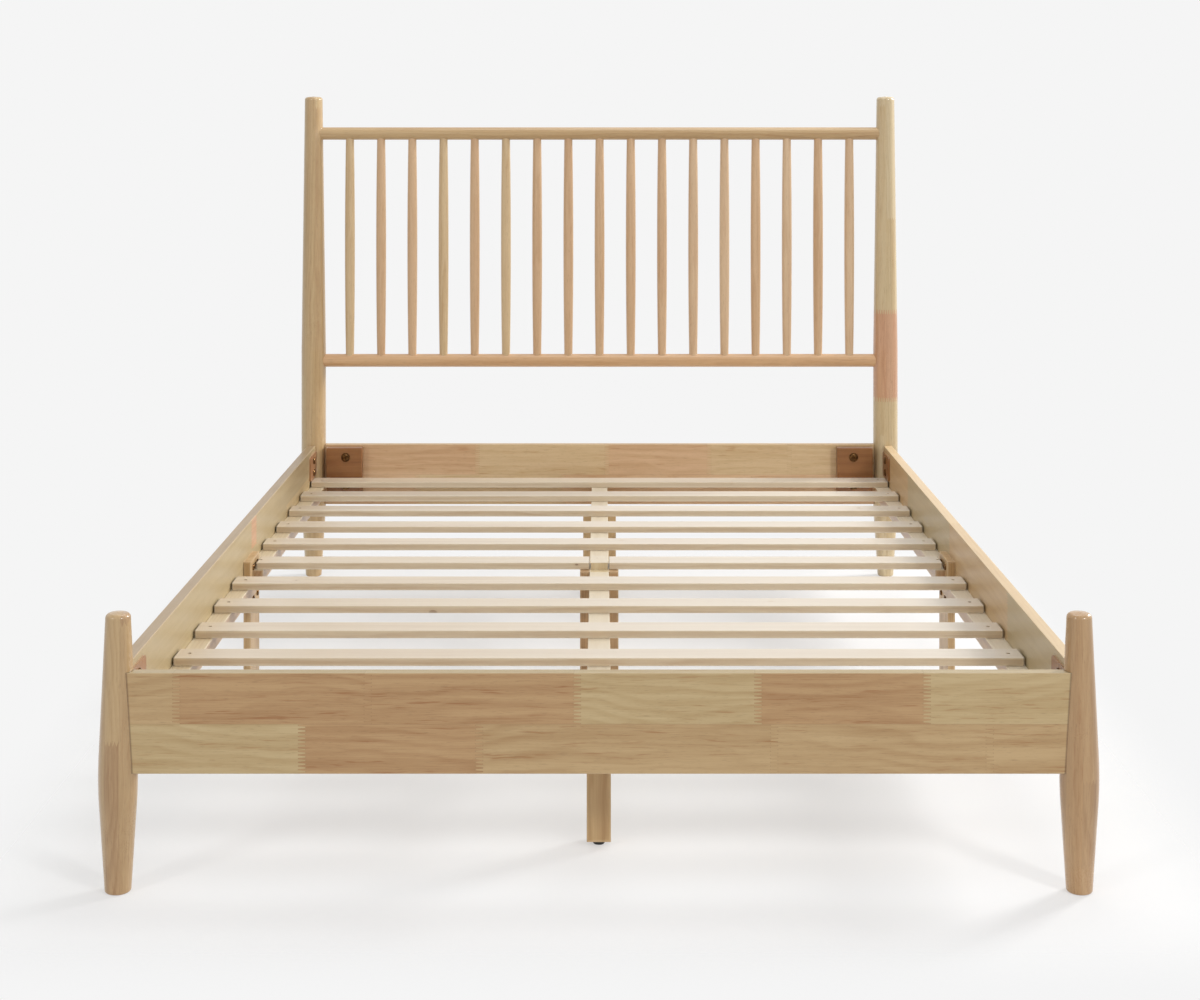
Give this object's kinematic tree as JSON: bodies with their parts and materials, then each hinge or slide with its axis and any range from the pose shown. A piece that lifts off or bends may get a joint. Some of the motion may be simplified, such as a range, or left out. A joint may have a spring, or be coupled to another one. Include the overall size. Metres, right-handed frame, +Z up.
{
  "type": "spindle bed frame",
  "caption": "Wooden bed frame with turned tapered posts, a spindle headboard, a plain foot board, side rails and a slatted base on a centre beam.",
  "frame": {"origin": "on the floor, midway between the four posts", "axes": "+X across the bed to the right as seen from the foot, +Y towards the headboard, +Z up"},
  "size_m": [1.6366, 2.178, 1.315],
  "materials": {
    "wood_post": "satin lacquer",
    "wood_spindle": "satin lacquer",
    "wood_board": "satin lacquer",
    "wood_slat": "bare sanded",
    "wood_leg": "satin lacquer",
    "wood_block": "satin lacquer",
    "wood_plate": "satin lacquer",
    "bolt_steel": "yellow passivated",
    "screw_steel": "dull",
    "insert_brass": "turned",
    "glide_plastic": "matt black"
  },
  "bodies": {
    "bed": {"head_post_left": "wood_post", "head_post_right": "wood_post", "foot_post_left": "wood_post", "foot_post_right": "wood_post", "head_top_rail": "wood_spindle", "head_lower_rail": "wood_spindle", "spindle_01": "wood_spindle", "spindle_02": "wood_spindle", "spindle_03": "wood_spindle", "spindle_04": "wood_spindle", "spindle_05": "wood_spindle", "spindle_06": "wood_spindle", "spindle_07": "wood_spindle", "spindle_08": "wood_spindle", "spindle_09": "wood_spindle", "spindle_10": "wood_spindle", "spindle_11": "wood_spindle", "spindle_12": "wood_spindle", "spindle_13": "wood_spindle", "spindle_14": "wood_spindle", "spindle_15": "wood_spindle", "spindle_16": "wood_spindle", "spindle_17": "wood_spindle", "head_board": "wood_board", "foot_board": "wood_board", "side_rail_left": "wood_board", "side_rail_right": "wood_board", "ledger_left_head": "wood_slat", "ledger_left_foot": "wood_slat", "ledger_right_head": "wood_slat", "ledger_right_foot": "wood_slat", "slat_01": "wood_slat", "slat_02": "wood_slat", "slat_03": "wood_slat", "slat_04": "wood_slat", "slat_05": "wood_slat", "slat_06": "wood_slat", "slat_07": "wood_slat", "slat_08": "wood_slat", "slat_09": "wood_slat", "slat_10": "wood_slat", "cross_slat_left": "wood_slat", "cross_slat_right": "wood_slat", "centre_beam_head": "wood_slat", "centre_beam_foot": "wood_slat", "centre_post": "wood_slat", "centre_cheek_left": "wood_leg", "centre_cheek_right": "wood_leg", "centre_leg_head": "wood_leg", "centre_leg_foot": "wood_leg", "side_leg_left": "wood_leg", "side_leg_right": "wood_leg", "corner_blocks": "wood_block", "rail_plates": "wood_plate", "glide_inserts": "insert_brass", "connector_bolts": "bolt_steel", "slat_screws": "screw_steel"},
    "glide_foot": {"glide_foot": "glide_plastic"},
    "glide_middle": {"glide_middle": "glide_plastic"},
    "glide_head": {"glide_head": "glide_plastic"}
  },
  "joints": [
    {"name": "glide_foot_slide", "type": "slide", "parent": "bed", "child": "glide_foot", "axis": [0, 0, -1], "range_m": [-0.0015, 0.012]},
    {"name": "glide_middle_slide", "type": "slide", "parent": "bed", "child": "glide_middle", "axis": [0, 0, -1], "range_m": [-0.0015, 0.012]},
    {"name": "glide_head_slide", "type": "slide", "parent": "bed", "child": "glide_head", "axis": [0, 0, -1], "range_m": [-0.0015, 0.012]}
  ]
}
